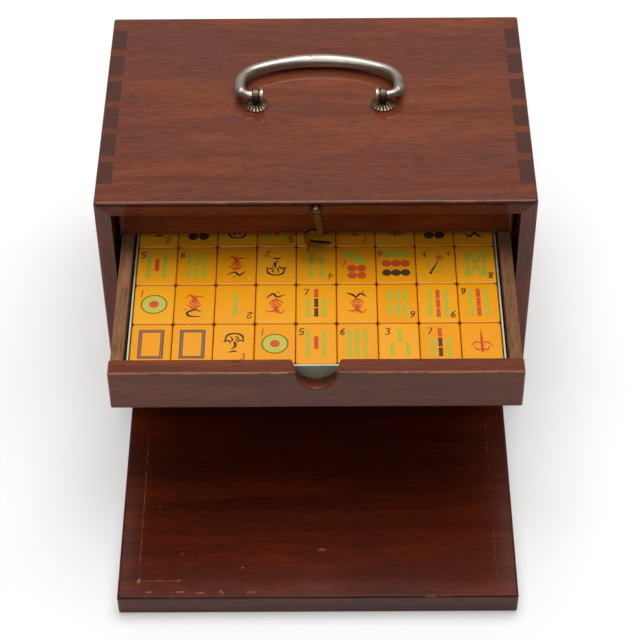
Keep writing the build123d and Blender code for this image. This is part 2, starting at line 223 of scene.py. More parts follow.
floor_finish, floor_tree, floor_shader = start_finish("pale_floor")
floor_look = {"Base Color": rgb(0.80, 0.80, 0.80), "Roughness": 0.9, "Specular IOR Level": 0.0}
feed(floor_tree, floor_shader, floor_look)
floor_glow = 0.28
path = add_node(floor_tree, "LightPath")
seen = maths(floor_tree, "MAXIMUM", path.outputs["Is Camera Ray"], path.outputs["Is Glossy Ray"])
seen = maths(floor_tree, "MAXIMUM", seen, path.outputs["Is Transmission Ray"])
glow = add_node(floor_tree, "Emission", {"Strength": product(floor_tree, seen, floor_glow)})
both = add_node(floor_tree, "AddShader", {0: floor_shader.outputs[0], 1: glow.outputs[0]})
floor_tree.links.new(both.outputs[0], floor_tree.nodes["Material Output"].inputs["Surface"])
floor.data.materials.append(floor_finish)
print("floor and", len(lamps), "lamps")

# %% [markdown]
# ## Wood
# A board shows long grain on its faces and darker, speckled end grain where the saw cut across
# it, which is what makes the tails of a dovetail stand out. One recipe makes every board: soft
# noise, squeezed along the grain, gives the figure and the streaks, and a finer one the pores.
# The surface's own direction tells end grain from long grain, and finds the rounded edges,
# where hands have rubbed the finish away. Each board takes its pattern from another place.

# %% Wood recipe
squeeze = 0.05           # how much a pattern is drawn out along the grain
pore_dark = rgb(0.022, 0.006, 0.004)
end_grain_dark = rgb(0.045, 0.022, 0.019)


def rounded_edges(tree, coordinates):
    """1 on a rounded edge, which faces none of the six main ways squarely, and 0 elsewhere."""
    parts = add_node(tree, "SeparateXYZ", {0: coordinates.outputs["Normal"]})
    steepest = 0.0
    for part in parts.outputs:
        steepest = maths(tree, "MAXIMUM", steepest, maths(tree, "ABSOLUTE", part))
    return remap(tree, steepest, 0.985, 0.87)


def drawn_out(tree, place, along, seed, amount=squeeze):
    """Coordinates squeezed along the grain, and moved so that no two boards match."""
    sockets = {
        "Vector": place,
        "Location": (0.37 * seed, 0.71 * seed, 0.53 * seed),
        "Scale": [amount if axis == along else 1.0 for axis in "xyz"],
    }
    return add_node(tree, "Mapping", sockets).outputs["Vector"]


def wood(name, along, seed, colours, worn, coat, top_coat, roughness=0.4, spared=0.0):
    """Hardwood with its grain along x, y or z, in four colours: light, dark, dull and rubbed.
    Edges are rubbed bare as far as worn says, but not within spared of the middle. The coat
    of varnish may be brighter on top than on the sides."""
    light, dark, dull, bare = colours
    made, tree, shader = start_finish(name)
    coordinates = add_node(tree, "TexCoord")
    place = coordinates.outputs["Object"]
    bend = noise(tree, place, 7.0, 2.0, output="Color")
    wavy = add_node(
        tree, "VectorMath", {0: bend, 1: (0.02, 0.02, 0.02), 2: place}, operation="MULTIPLY_ADD"
    ).outputs["Vector"]
    long_way = drawn_out(tree, wavy, along, seed)
    figure = noise(tree, long_way, 75.0, 5.0, 0.65)
    streaks = noise(tree, long_way, 520.0, 4.0, 0.65)
    fibres = noise(tree, long_way, 1900.0, 2.0)
    pores = noise(tree, long_way, 1600.0, 1.0)
    patches = noise(tree, drawn_out(tree, place, along, seed, 0.35), 26.0, 3.0, 0.6)

    colour = mix(tree, remap(tree, figure, 0.38, 0.62, 0.08, 1.0), dark, light)
    colour = mix(tree, remap(tree, patches, 0.42, 0.62, 0.0, 0.85), colour, dull)
    colour = mix(tree, remap(tree, streaks, 0.48, 0.72, 0.0, 0.55), colour, dark)
    colour = mix(tree, remap(tree, fibres, 0.4, 0.7, 0.0, 0.35), colour, light)
    colour = mix(tree, remap(tree, pores, 0.56, 0.68, 0.0, 0.5), colour, pore_dark)

    direction = [1.0 if axis == along else 0.0 for axis in "xyz"]
    across = add_node(
        tree, "VectorMath", {0: coordinates.outputs["Normal"], 1: direction}, operation="DOT_PRODUCT"
    ).outputs["Value"]
    end_grain = remap(tree, maths(tree, "ABSOLUTE", across), 0.75, 0.93)
    speckle = noise(tree, place, 1300.0, 2.0)
    end_colour = mix(tree, remap(tree, speckle, 0.35, 0.75, 0.15, 0.7), end_grain_dark, dull)
    colour = mix(tree, product(tree, end_grain, 0.9), colour, end_colour)

    rubbed = remap(tree, noise(tree, place, 55.0, 5.0, 0.7), 0.66 - 0.35 * worn, 0.82 - 0.35 * worn)
    edge = rounded_edges(tree, coordinates)
    sideways = maths(tree, "ABSOLUTE", add_node(tree, "SeparateXYZ", {0: place}).outputs["X"])
    wear = product(tree, edge, rubbed, remap(tree, sideways, spared, spared + 0.5 * MM))
    colour = mix(tree, product(tree, wear, 0.75), colour, bare)

    smooth = remap(tree, streaks, 0.3, 0.75, roughness - 0.05, roughness + 0.07)
    facing = add_node(tree, "SeparateXYZ", {0: coordinates.outputs["Normal"]})
    polished = remap(tree, facing.outputs["Z"], 0.3, 0.8, coat, top_coat)
    ripple = noise(tree, place, 90.0, 2.0)
    height = maths(tree, "ADD", product(tree, fibres, 0.25), ripple)
    feed(tree, shader, {
        "Base Color": colour,
        "Roughness": maths(tree, "ADD", smooth, product(tree, wear, 0.2)),
        "Specular IOR Level": 0.05,
        "Coat Weight": product(tree, polished, remap(tree, edge, 0.0, 1.0, 1.0, 0.55)),
        "Coat Roughness": 0.08,
        "Normal": bump(tree, height, 0.25, 0.15 * MM),
        "Coat Normal": bump(tree, ripple, 0.1, 0.1 * MM),
    })
    return made


def dress(names, finish):
    """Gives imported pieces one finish. Their shapes stay as they are."""
    for name in names:
        nodes[name].data.materials.clear()
        nodes[name].data.materials.append(finish)


# %% [markdown]
# ## Carcass and drawer fronts
# The outside is a red-brown hardwood under many coats of varnish. The lid, the bottom and the
# drawer fronts run side to side, and the two sides run upright, so their tails come up through
# the lid as dark squares of end grain. The lid has been polished most, and the drawer in use
# more than its neighbours. A dark line of painted shade lies under the lid's rounded front edge,
# for the dark that the edge mirrors, and the finger notches are painted dark towards their back,
# as painted shade. Both are laid over the wood as a mask, which is easier to place than another
# noise.

# %% Varnished boards
def near_to(tree, value, place, half_width):
    """1 where a value is at a place, fading to 0 half a width away."""
    gap = maths(tree, "ABSOLUTE", maths(tree, "SUBTRACT", value, place))
    return remap(tree, gap, half_width, 0.3 * half_width)


def between(tree, value, low, high, fade=2.0 * MM):
    """1 between two values, fading to 0 outside them."""
    return product(tree, remap(tree, value, low - fade, low), remap(tree, value, high + fade, high))


def overlay(finish, mask, colour):
    """Lays a colour over a finish where the mask is 1."""
    tree = finish.node_tree
    base = tree.nodes["Principled BSDF"].inputs["Base Color"]
    under = base.links[0].from_socket
    tree.links.new(mix(tree, mask, under, colour), base)


varnish = (
    rgb(0.245, 0.054, 0.017), rgb(0.115, 0.022, 0.008),
    rgb(0.125, 0.034, 0.022), rgb(0.46, 0.17, 0.06),
)
board_grain = {
    "top_board": "x", "bottom_board": "x", "left_side": "z", "right_side": "z", "back_board": "x",
}
for seed, (board_name, along) in enumerate(board_grain.items()):
    coat, top_coat = (0.25, 0.9) if board_name == "top_board" else (0.6, 0.6)
    finish = wood("varnished_" + board_name, along, seed, varnish, 0.3, coat, top_coat)
    dress([board_name], finish)

# A near-black for painted shade: a line under the lid's rounded front edge, for the dark it mirrors,
# and the back of each finger notch.
painted_shade = rgb(0.020, 0.005, 0.003)
shade_line_below = 1.8 * MM      # from the top of the lid to the line
shade_line_half_width = 1.2 * MM
lid_low, lid_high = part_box("top_board")
lid_finish = nodes["top_board"].data.materials[0]
tree = lid_finish.node_tree
_, _, y, z = where(tree)
# Painted shade: a dark line just under the rounded front edge of the lid.
on_line = near_to(tree, z, lid_high.z - shade_line_below, shade_line_half_width)
on_front = remap(tree, y, lid_low.y + 0.5 * MM, lid_low.y + 0.2 * MM)
overlay(lid_finish, product(tree, on_line, on_front, 0.95), painted_shade)

notch_half = 14.6 * MM      # with its rounded corners, at the back
notch_reach = 14.0 * MM     # from the top of a front to below its notch
shade_start_depth = 1.0 * MM      # the notch darkens from here
shade_full_depth = 6.0 * MM      # to here
drawer_numbers = range(1, 6)
open_drawer = 2
for number in drawer_numbers:
    name = f"drawer_{number}_front"
    coat = 0.6 if number == open_drawer else 0.25
    seed = 10 + number
    finish = wood("varnished_" + name, "x", seed, varnish, 0.8, coat, coat, spared=notch_half)
    dress([name], finish)
    front_low, front_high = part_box(name)
    tree = finish.node_tree
    _, x, y, z = where(tree)
    # Painted shade in each finger notch, deepening towards its back.
    inside = between(tree, x, -notch_half, notch_half, 0.1 * MM)
    level = between(tree, z, front_high.z - notch_reach, front_high.z - 2 * MM, MM)
    deep = remap(tree, y, front_low.y + shade_start_depth, front_low.y + shade_full_depth, 0.0, 0.8)
    overlay(finish, product(tree, inside, level, deep), painted_shade)
print("varnished boards:", len(board_grain) + len(drawer_numbers))

# %% [markdown]
# ## Plain drawer wood
# Inside, the maker saved the varnish. Drawer sides, backs and bottoms are bare planed wood,
# lighter and duller than the fronts, and the runners are polished only by use.

# %% Plain wood
planed = (
    rgb(0.34, 0.16, 0.075), rgb(0.15, 0.062, 0.028), rgb(0.19, 0.09, 0.05), rgb(0.40, 0.22, 0.12),
)
plain_along_y = wood("plain_sides", "y", 30, planed, 0.3, 0.0, 0.0, 0.65)
plain_along_x = wood("plain_cross_pieces", "x", 31, planed, 0.3, 0.0, 0.0, 0.65)
for number in drawer_numbers:
    dress([f"drawer_{number}_left_side", f"drawer_{number}_right_side"], plain_along_y)
    dress([f"drawer_{number}_back", f"drawer_{number}_bottom"], plain_along_x)
dress(["left_runners", "right_runners"], plain_along_y)
print("plain wood on", 4 * len(drawer_numbers) + 2, "nodes")

# %% [markdown]
# ## Front panel
# The panel lies with its inner face up. The edges of the case have pressed and rubbed a fine
# line along three of its sides, brightest at the near left corner, and it has a few dents. The
# line is worn colour, not a cut, so masks on the coordinates lay it over the board's colour.
# Its colours are the varnish painted darker, as painted shade for the drawer's shadow over it.

# %% Front panel
panel_low, panel_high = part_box("front_panel")
# The varnish colours made darker, as painted shade for the drawer's shadow over the panel.
shade_darkened_varnish = (
    rgb(0.140, 0.018, 0.003), rgb(0.050, 0.006, 0.002),
    rgb(0.062, 0.010, 0.005), rgb(0.40, 0.13, 0.05),
)
panel_finish = wood("varnished_front_panel", "x", 20, shade_darkened_varnish, 0.25, 0.5, 0.2, 0.34)
tree = panel_finish.node_tree
feed(tree, tree.nodes["Principled BSDF"], {"Coat Roughness": 0.2})
place, x, y, z = where(tree)

line_inset = 11.3 * MM
line_half_width = 0.3 * MM
near_line_length = 22 * MM
left_x = panel_low.x + line_inset
right_x = panel_high.x - line_inset
near_y = panel_low.y + line_inset
broken = noise(tree, place, 260.0, 3.0)

# Each worn line: what it keeps to, and where; what it runs along, from where and to where;
# and how the noise breaks it up.
worn_lines = [
    (x, left_x, y, near_y, panel_high.y - 30 * MM, (0.4, 0.6, 0.05, 0.6)),
    (x, right_x, y, near_y + 4 * MM, panel_high.y - 15 * MM, (0.45, 0.65, 0.0, 0.4)),
    (y, near_y, x, left_x, left_x + near_line_length, (0.35, 0.6, 0.1, 0.7)),
]
worn_parts = []
for across, line_at, along, start, stop, showing in worn_lines:
    on_line = near_to(tree, across, line_at, line_half_width)
    covered = between(tree, along, start, stop)
    worn_parts.append(product(tree, on_line, covered, remap(tree, broken, *showing)))

# One big dent near the middle, a chip at each end of the near line, and small dents: most by
# the near edge. Each has a place, and how far it reaches either way.
big_dent_aside = 2.5 * MM
big_dent_back = 31.5 * MM
near_dents = 7
other_dents = 3
panel_middle = (panel_low + panel_high) / 2
dents = [
    (panel_middle.x + big_dent_aside, panel_low.y + big_dent_back, 2.8 * MM, 1.1 * MM),
    (left_x, near_y, 1.3 * MM, 2.2 * MM),
    (left_x + near_line_length, near_y, 1.1 * MM, 1.0 * MM),
]
chipping = random.Random(7)
for dent in range(near_dents):
    dent_x = chipping.uniform(panel_low.x + 10 * MM, panel_middle.x + 10 * MM)
    dent_y = panel_low.y + chipping.uniform(3.0, 4.5) * MM
    dents.append((dent_x, dent_y, chipping.uniform(1.0, 3.4) * MM, 0.8 * MM))
for dent in range(other_dents):
    dent_x = chipping.uniform(left_x, right_x)
    dent_y = chipping.uniform(near_y, panel_middle.y)
    dents.append((dent_x, dent_y, 0.8 * MM, 0.8 * MM))
speckled = remap(tree, noise(tree, place, 900.0, 2.0), 0.42, 0.55, 0.1, 0.8)
for dent_x, dent_y, reach_x, reach_y in dents:
    spot_x = near_to(tree, x, dent_x, reach_x)
    worn_parts.append(product(tree, spot_x, near_to(tree, y, dent_y, reach_y), speckled))
worn_mask = 0.0
for part in worn_parts:
    worn_mask = maths(tree, "MAXIMUM", worn_mask, part)
worn_line = rgb(0.42, 0.19, 0.09)
overlay(panel_finish, worn_mask, worn_line)
dress(["front_panel"], panel_finish)
print("panel", [round(1000 * size, 1) for size in panel_high - panel_low], "mm")

# %% [markdown]
# ## Tile bodies
# A tile is a slab of cast resin with its edges rounded over, the four upright ones most of
# all, so that four corners meet round a small dark pit. One tile is modelled: a cube scaled to
# size, with its upright edges bevelled first and those of its top and bottom after them. It is
# then copied to each place in the tray. Each copy carries its own tone as an attribute.

# %% Tile shapes
tile_columns = 9
tile_rows = 4
tile_gap = 0.12 * MM
tile_corner_round = 1.7 * MM
tile_top_round = 0.85 * MM
tiled_drawers = range(1, 5)


def grid_of(node, columns, rows, gap):
    """The middle of the underside of each thing in a packed grid of them, and their size."""
    low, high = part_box(node)
    step_x = (high.x - low.x + gap) / columns
    step_y = (high.y - low.y + gap) / rows
    feet = []
    for row in range(rows):
        for column in range(columns):
            x = low.x + (column + 0.5) * step_x - gap / 2
            y = low.y + (row + 0.5) * step_y - gap / 2
            feet.append(Vector((x, y, low.z)))
    return feet, Vector((step_x - gap, step_y - gap, high.z - low.z))


def round_over(shape, edges, radius, segments=2):
    """Bevels edges and shades the new faces smoothly."""
    rounded = bmesh.ops.bevel(
        shape, geom=edges, offset=radius, offset_type="OFFSET", segments=segments,
        profile=0.5, affect="EDGES", material=-1,
    )
    for face in rounded["faces"]:
        face.smooth = True


def rise(edge):
    """How far an edge goes up."""
    return abs(edge.verts[0].co.z - edge.verts[1].co.z)


def slab(size, corner_round, top_round):
    """A block with rounded edges, standing on its origin."""
    made = bmesh.new()
    bmesh.ops.create_cube(made, size=1.0)
    bmesh.ops.scale(made, vec=size, verts=made.verts)
    bmesh.ops.translate(made, vec=(0, 0, size.z / 2), verts=made.verts)
    upright = [edge for edge in made.edges if rise(edge) > size.z / 2]
    round_over(made, upright, corner_round, 3)
    level = [edge for edge in made.edges if rise(edge) < size.z / 2]
    round_over(made, level, top_round)
    return made


def copies(pattern, places, tones):
    """One mesh with the pattern at each place; each copy's tone goes into an attribute."""
    piece = bpy.data.meshes.new("copy")
    pattern.to_mesh(piece)
    made = bmesh.new()
    tone_layer = made.verts.layers.float.new("tone")
    for place, tone in zip(places, tones):
        first = len(made.verts)
        made.from_mesh(piece)
        made.verts.ensure_lookup_table()
        fresh = made.verts[first:]
        bmesh.ops.transform(made, matrix=place, verts=fresh)
        for vert in fresh:
            vert[tone_layer] = tone
    bpy.data.meshes.remove(piece)
    return made


def new_piece(name, shape, finishes, body, replaced=()):
    """Turns a bmesh into an object that rides on a body."""
    mesh = bpy.data.meshes.new(name)
    shape.to_mesh(mesh)
    shape.free()
    for finish in finishes:
        mesh.materials.append(finish)
    piece = new_object(name, mesh)
    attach(piece, body)
    if replaced:
        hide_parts(*replaced)
    return piece


print("tiles in a tray:", tile_columns * tile_rows)

# %% [markdown]
# ## Resin
# Old resin darkens unevenly, so the finish reads each tile's tone and adds a slow swirl to it.
# The sides are painted browner than the tops, as painted shade in the gaps between the tiles.
# Every tile is turned by a hair, because no two of them lie quite square.

# %% Tiles
resin_pale = rgb(0.93, 0.42, 0.018)
resin_deep = rgb(0.89, 0.33, 0.004)
resin_gap_shade = rgb(0.40, 0.115, 0.005)
resin, tree, shader = start_finish("butterscotch_resin")
coordinates = add_node(tree, "TexCoord")
tone = add_node(tree, "Attribute", attribute_name="tone").outputs["Fac"]
swirl = noise(tree, coordinates.outputs["Object"], 55.0, 4.0, 0.6)
depth = maths(tree, "ADD", product(tree, swirl, 0.5), tone)
colour = mix(tree, remap(tree, depth, 0.1, 1.3), resin_pale, resin_deep)
facing = add_node(tree, "SeparateXYZ", {0: coordinates.outputs["Normal"]})
upward = maths(tree, "ABSOLUTE", facing.outputs["Z"])
haze = noise(tree, coordinates.outputs["Object"], 300.0, 3.0)
# Painted shade: faces that turn away from up, the sides seen in the gaps between the tiles, take a
# darker brown.
feed(tree, shader, {
    "Base Color": mix(tree, remap(tree, upward, 0.75, 0.2), colour, resin_gap_shade),
    "Roughness": remap(tree, haze, 0.3, 0.7, 0.18, 0.28),
    "Specular IOR Level": 0.28,
    "Normal": bump(tree, swirl, 0.15, 0.2 * MM),
})

tile_play = Vector((0.06, 0.06, 0.0)) * MM
largest_turn = 0.12     # degrees
for number in tiled_drawers:
    node = f"drawer_{number}_tiles"
    feet, tile_size = grid_of(node, tile_columns, tile_rows, tile_gap)
    shuffle = random.Random(number)
    places = []
    for foot in feet:
        turn = math.radians(shuffle.uniform(-largest_turn, largest_turn))
        places.append(Matrix.Translation(foot) @ Matrix.Rotation(turn, 4, "Z"))
    tones = [shuffle.random() for place in places]
    one_tile = slab(tile_size - tile_play, tile_corner_round, tile_top_round)
    tiles = copies(one_tile, places, tones)
    one_tile.free()
    piece_name = f"tiles_in_drawer_{number}"
    new_piece(piece_name, tiles, [resin], f"drawer_{number}", [node])
print("tiles:", len(tiled_drawers) * len(feet), [round(side / MM, 2) for side in tile_size])

# %% [markdown]
# ## Paint for the marks
# The marks are cut a little way into each tile and filled with paint. The paint is thin and
# old, so some of the resin shows through: each colour is broken up by fine noise. Three of the
# colours have a lighter mate, for the dots and rings inside the larger shapes.

# %% Paints
def paint(name, colour, bare=0.35):
    """Worn paint over resin."""
    made, tree, shader = start_finish(name)
    place = add_node(tree, "TexCoord").outputs["Object"]
    worn = remap(tree, noise(tree, place, 1300.0, 3.0, 0.6), 0.5, 0.75, 0.0, bare)
    feed(tree, shader, {
        "Base Color": mix(tree, worn, colour, resin_pale),
        "Roughness": remap(tree, worn, 0.0, 0.4, 0.45, 0.3),
        "Specular IOR Level": 0.3,
    })
    return made


GREEN, LIME, RED, ROSE, BLACK, SMOKE, FAINT, GREY = range(8)
paints = [
    paint("green_paint", rgb(0.37, 0.43, 0.03), 0.55),
    paint("lime_paint", rgb(0.55, 0.52, 0.08)),
    paint("red_paint", rgb(0.56, 0.035, 0.010)),
    paint("rose_paint", rgb(0.78, 0.15, 0.03), 0.5),
    paint("black_paint", rgb(0.026, 0.014, 0.010), 0.1),
    paint("smoke_paint", rgb(0.13, 0.10, 0.05), 0.2),
    paint("faint_green_paint", rgb(0.60, 0.52, 0.03), 0.4),
    paint("grey_paint", rgb(0.115, 0.070, 0.060), 0.1),
]
lighter = {GREEN: LIME, RED: ROSE, BLACK: SMOKE}
print("paints:", [made.name for made in paints])

# %% [markdown]
# ## Brush strokes
# Every mark is made of a few strokes and discs. A stroke is a strip of grid, laid along a
# curve that runs smoothly through a handful of points and is as wide at each as the brush was
# pressed. Later the flat shapes are given thickness, so that the paint sits in the tile as an
# inlay. All sizes here are in millimetres from the middle of the tile, with +y its top.

# %% Strokes, discs and frames
layer_step = 0.002       # each new shape lies this much higher, so that none share a plane


class Marks:
    """Flat painted shapes for one tile, gathered in one mesh."""

    def __init__(self):
        self.shape = bmesh.new()
        self.lift = 0.0

    def colour(self, verts, paint_number):
        """Paints a new shape and lays it on top of the last one."""
        self.lift += layer_step
        bmesh.ops.translate(self.shape, verts=verts, vec=(0, 0, self.lift))
        for face in {face for vert in verts for face in vert.link_faces}:
            face.material_index = paint_number

    def stroke(self, points, widths, paint_number, steps=3):
        """A strip through the points; widths are spread evenly along it."""
        line = smooth_line([Vector((*point, 0.0)) for point in points], steps)
        if isinstance(widths, (int, float)):
            widths = [widths, widths]
        last = len(line) - 1
        made = bmesh.ops.create_grid(self.shape, x_segments=last, y_segments=1, size=0.5)
        for vert in made["verts"]:
            number = round((vert.co.x + 0.5) * last)
            side = 0.5 if vert.co.y > 0 else -0.5
            along = line[min(number + 1, last)] - line[max(number - 1, 0)]
            across = Vector((-along.y, along.x, 0.0)).normalized()
            vert.co = line[number] + across * side * value_along(widths, number / last)
        self.colour(made["verts"], paint_number)

    def disc(self, x, y, radius, paint_number, corners=14):
        """A round spot."""
        made = bmesh.ops.create_circle(
            self.shape, cap_ends=True, segments=corners, radius=radius,
            matrix=Matrix.Translation((x, y, 0.0)),
        )
        self.colour(made["verts"], paint_number)

    def frame(self, width, length, line, paint_number):
        """An oblong ring."""
        made = bmesh.ops.create_grid(self.shape, x_segments=1, y_segments=1, size=0.5)
        bmesh.ops.scale(self.shape, verts=made["verts"], vec=(width, length, 1.0))
        middle = made["verts"][0].link_faces[0]
        ring = bmesh.ops.inset_region(
            self.shape, faces=[middle], thickness=line, use_boundary=True, use_even_offset=True,
        )
        bmesh.ops.delete(self.shape, geom=[middle], context="FACES_ONLY")
        self.colour(list({vert for face in ring["faces"] for vert in face.verts}), paint_number)


def smooth_line(points, steps):
    """Points on a curve that passes through all those given."""
    if len(points) == 2 or steps == 1:
        return points
    padded = [2 * points[0] - points[1], *points, 2 * points[-1] - points[-2]]
    line = []
    for before, start, end, after in zip(padded, padded[1:], padded[2:], padded[3:]):
        for step in range(steps):
            t = step / steps
            line.append(
                start
                + t * (end - before) / 2
                + t**2 * (before - 2.5 * start + 2 * end - after / 2)
                + t**3 * (-before + 3 * start - 3 * end + after) / 2
            )
    return [*line, points[-1]]


def value_along(values, share):
    """The value at a share of the way along a list."""
    spot = share * (len(values) - 1)
    before = min(int(spot), len(values) - 2)
    return values[before] + (spot - before) * (values[before + 1] - values[before])


three_points = [Vector((n, n * n, 0)) for n in range(3)]
print("a stroke through three points has", len(smooth_line(three_points, 3)), "points")

# %% [markdown]
# ## Numbers
# Small numbers tell the tiles of a suit apart, as on any set made for export. Each number is a
# single stroke through a few points, which lie in a square that is one unit high.

# %% Numbers
digit_lines = {
    "1": [(0.0, 0.5), (0.0, -0.5)],
    "2": [(-0.5, 0.2), (-0.1, 0.5), (0.4, 0.25), (0.0, -0.15), (-0.5, -0.45), (0.5, -0.45)],
    "3": [(-0.45, 0.4), (0.1, 0.5), (0.4, 0.25), (0.0, 0.05), (0.5, -0.2), (0.1, -0.5),
          (-0.45, -0.4)],
    "4": [(0.2, -0.5), (0.25, 0.5), (-0.5, -0.15), (0.5, -0.15)],
    "5": [(0.45, 0.5), (-0.3, 0.45), (-0.35, 0.05), (0.3, 0.05), (0.45, -0.25), (0.0, -0.5),
          (-0.45, -0.4)],
    "6": [(0.3, 0.5), (-0.3, 0.1), (-0.35, -0.35), (0.1, -0.5), (0.4, -0.25), (0.1, 0.0),
          (-0.3, -0.15)],
    "7": [(-0.5, 0.5), (0.5, 0.5), (-0.05, -0.5)],
    "8": [(0.0, 0.05), (0.35, 0.3), (0.0, 0.5), (-0.35, 0.3), (0.0, 0.05), (0.4, -0.25),
          (0.0, -0.5), (-0.4, -0.25), (0.0, 0.05)],
    "9": [(-0.3, -0.5), (0.3, -0.1), (0.35, 0.35), (-0.1, 0.5), (-0.4, 0.25), (-0.1, 0.0),
          (0.3, 0.15)],
}
straight_digits = "147"


def digit(marks, text, x, y, paint_number=BLACK, height=4.6, line=0.7):
    """A plain number drawn with one stroke, leaning a little to the right."""
    width, lean = 0.55 * height, 0.12 * height
    points = [(x + width * across + lean * up, y + height * up) for across, up in digit_lines[text]]
    marks.stroke(points, line, paint_number, steps=1 if text in straight_digits else 3)


print("numbers:", "".join(digit_lines))

# %% [markdown]
# ## Suits
# The set has three suits and a few honours. Bamboo tiles carry short sticks with a knuckle at
# each end and one in the middle. Dot tiles carry discs with fine rings in them. The third suit
# has plain brush shapes, and follows with the honours.

# %% Suits
def stick(marks, x, y, length, paint_number=GREEN, lean=0.0, width=2.7):
    """A bamboo stick: three swellings along a stem, each with a pale eye."""
    top = (x + lean * length / 2, y + length / 2)
    foot = (x - lean * length / 2, y - length / 2)
    swellings = [0.55, 1.0, 0.9, 0.55, 0.9, 0.9, 0.55, 0.9, 1.0, 0.55]
    marks.stroke([top, (x, y), foot], [width * share for share in swellings], paint_number, steps=5)
    for share in (-0.34, 0.0, 0.34):
        up = share * length
        marks.disc(x + lean * up, y + up, 0.17 * width, lighter[paint_number], 6)


def bamboo(marks, number):
    """The bamboo suit, with its number."""
    plans = {
        2: [(0.0, 4.6, GREEN), (0.0, -4.6, GREEN)],
        3: [(0.6, 5.4, GREEN), (-3.6, -4.4, GREEN), (5.0, -4.4, GREEN)],
        4: [(x, y, GREEN) for y in (5.2, -5.2) for x in (-3.0, 3.0)],
        5: [(x, y, GREEN) for y in (5.3, -5.1) for x in (-4.6, 4.3)] + [(0.0, 0.7, RED)],
        6: [(x, y, GREEN) for y in (5.2, -5.6) for x in (-4.4, -0.2, 4.2)],
        7: [(0.0, 8.0, RED), (0.0, 0.6, BLACK), (0.0, -6.8, BLACK)]
           + [(x, y, GREEN) for y in (0.4, -7.0) for x in (-4.5, 4.5)],
        9: [(x, y, RED if x == 0.0 else GREEN) for y in (7.6, 0.4, -6.8) for x in (-4.4, 0.0, 4.4)],
    }
    length = 6.6 if number in (7, 9) else 9.4
    if number == 8:
        for side in (-1, 1):
            for y in (5.0, -5.0):
                stick(marks, 4.8 * side, y, 9.0)
                stick(marks, 1.8 * side, y, 8.0, lean=math.copysign(0.4, y) * side, width=2.1)
    for x, y, paint_number in plans.get(number, []):
        stick(marks, x, y, length, paint_number)
    digit(marks, str(number), {3: -6.0, 7: -5.6}.get(number, -8.0), 8.8)


def spot(marks, x, y, radius, paint_number):
    """A dot: two fine pale rings in a round field."""
    pale = lighter[paint_number]
    ring_paints = [paint_number, pale, paint_number, pale, paint_number]
    for share, ring_paint in zip((1.0, 0.72, 0.62, 0.36, 0.24), ring_paints):
        marks.disc(x, y, share * radius, ring_paint)


def dots(marks, number):
    """The dot suit, with its number."""
    if number == 1:
        for radius, ring_paint in ((7.3, BLACK), (6.8, GREEN), (6.3, LIME), (4.6, GREEN), (4.3, LIME)):
            marks.disc(0.0, 0.0, radius, ring_paint, 32 if radius > 5.0 else 24)
        spot(marks, 0.0, 0.0, 2.7, RED)
        digit(marks, "1", -6.9, 8.4, RED, height=5.4)
        return
    plans = {
        4: [(x, y, GREEN if y > 0 else BLACK) for y in (6.5, -6.5) for x in (-3.0, 3.0)],
        7: [(-4.3, 8.6, GREEN), (-0.9, 6.0, GREEN), (2.8, 3.2, GREEN)]
           + [(x, y, RED) for y in (-2.8, -8.4) for x in (-2.3, 3.0)],
        9: [(x, y, row_paint) for y, row_paint in ((8.4, GREEN), (1.0, RED), (-6.4, BLACK))
            for x in (-5.2, 0.0, 5.2)],
    }
    for x, y, paint_number in plans[number]:
        spot(marks, x, y, 2.9 if number == 4 else 2.65, paint_number)
    if number == 7:
        digit(marks, "7", -7.2, 1.0, RED)
    elif number == 9:
        digit(marks, "9", -9.2, 8.6, RED)


print("two suits: bamboo and dots")

# %% [markdown]
# ## Brush shapes, frames and a blossom
# Where other sets have writing, this one has brush shapes: black over red on the third suit,
# or one large black shape. Each is a handful of strokes that swell and taper, laid out one by one
# to look like quick painting and to read as nothing. Two kinds carry no number: a red spear,
# and a double frame.

# %% Honours
def sweep(marks, parts, paint_number):
    """Several strokes of one colour."""
    for widths, strokes in parts:
        for points in strokes:
            marks.stroke(points, widths, paint_number)


black_sweeps = [
    [[(-5.2, 4.4), (-1.6, 7.8), (0.8, 5.2), (5.0, 7.2)], [(0.6, 9.6), (1.8, 8.2)]],
    [[(-5.4, 8.2), (-2.0, 6.4), (0.2, 3.6)], [(-0.6, 4.4), (2.2, 7.6), (5.4, 5.0)],
     [(2.8, 9.8), (4.2, 8.8)]],
    [[(-3.6, 9.4), (2.2, 9.2), (3.8, 6.4), (-0.8, 4.2), (-3.8, 6.2)], [(4.4, 4.4), (5.6, 3.6)]],
]
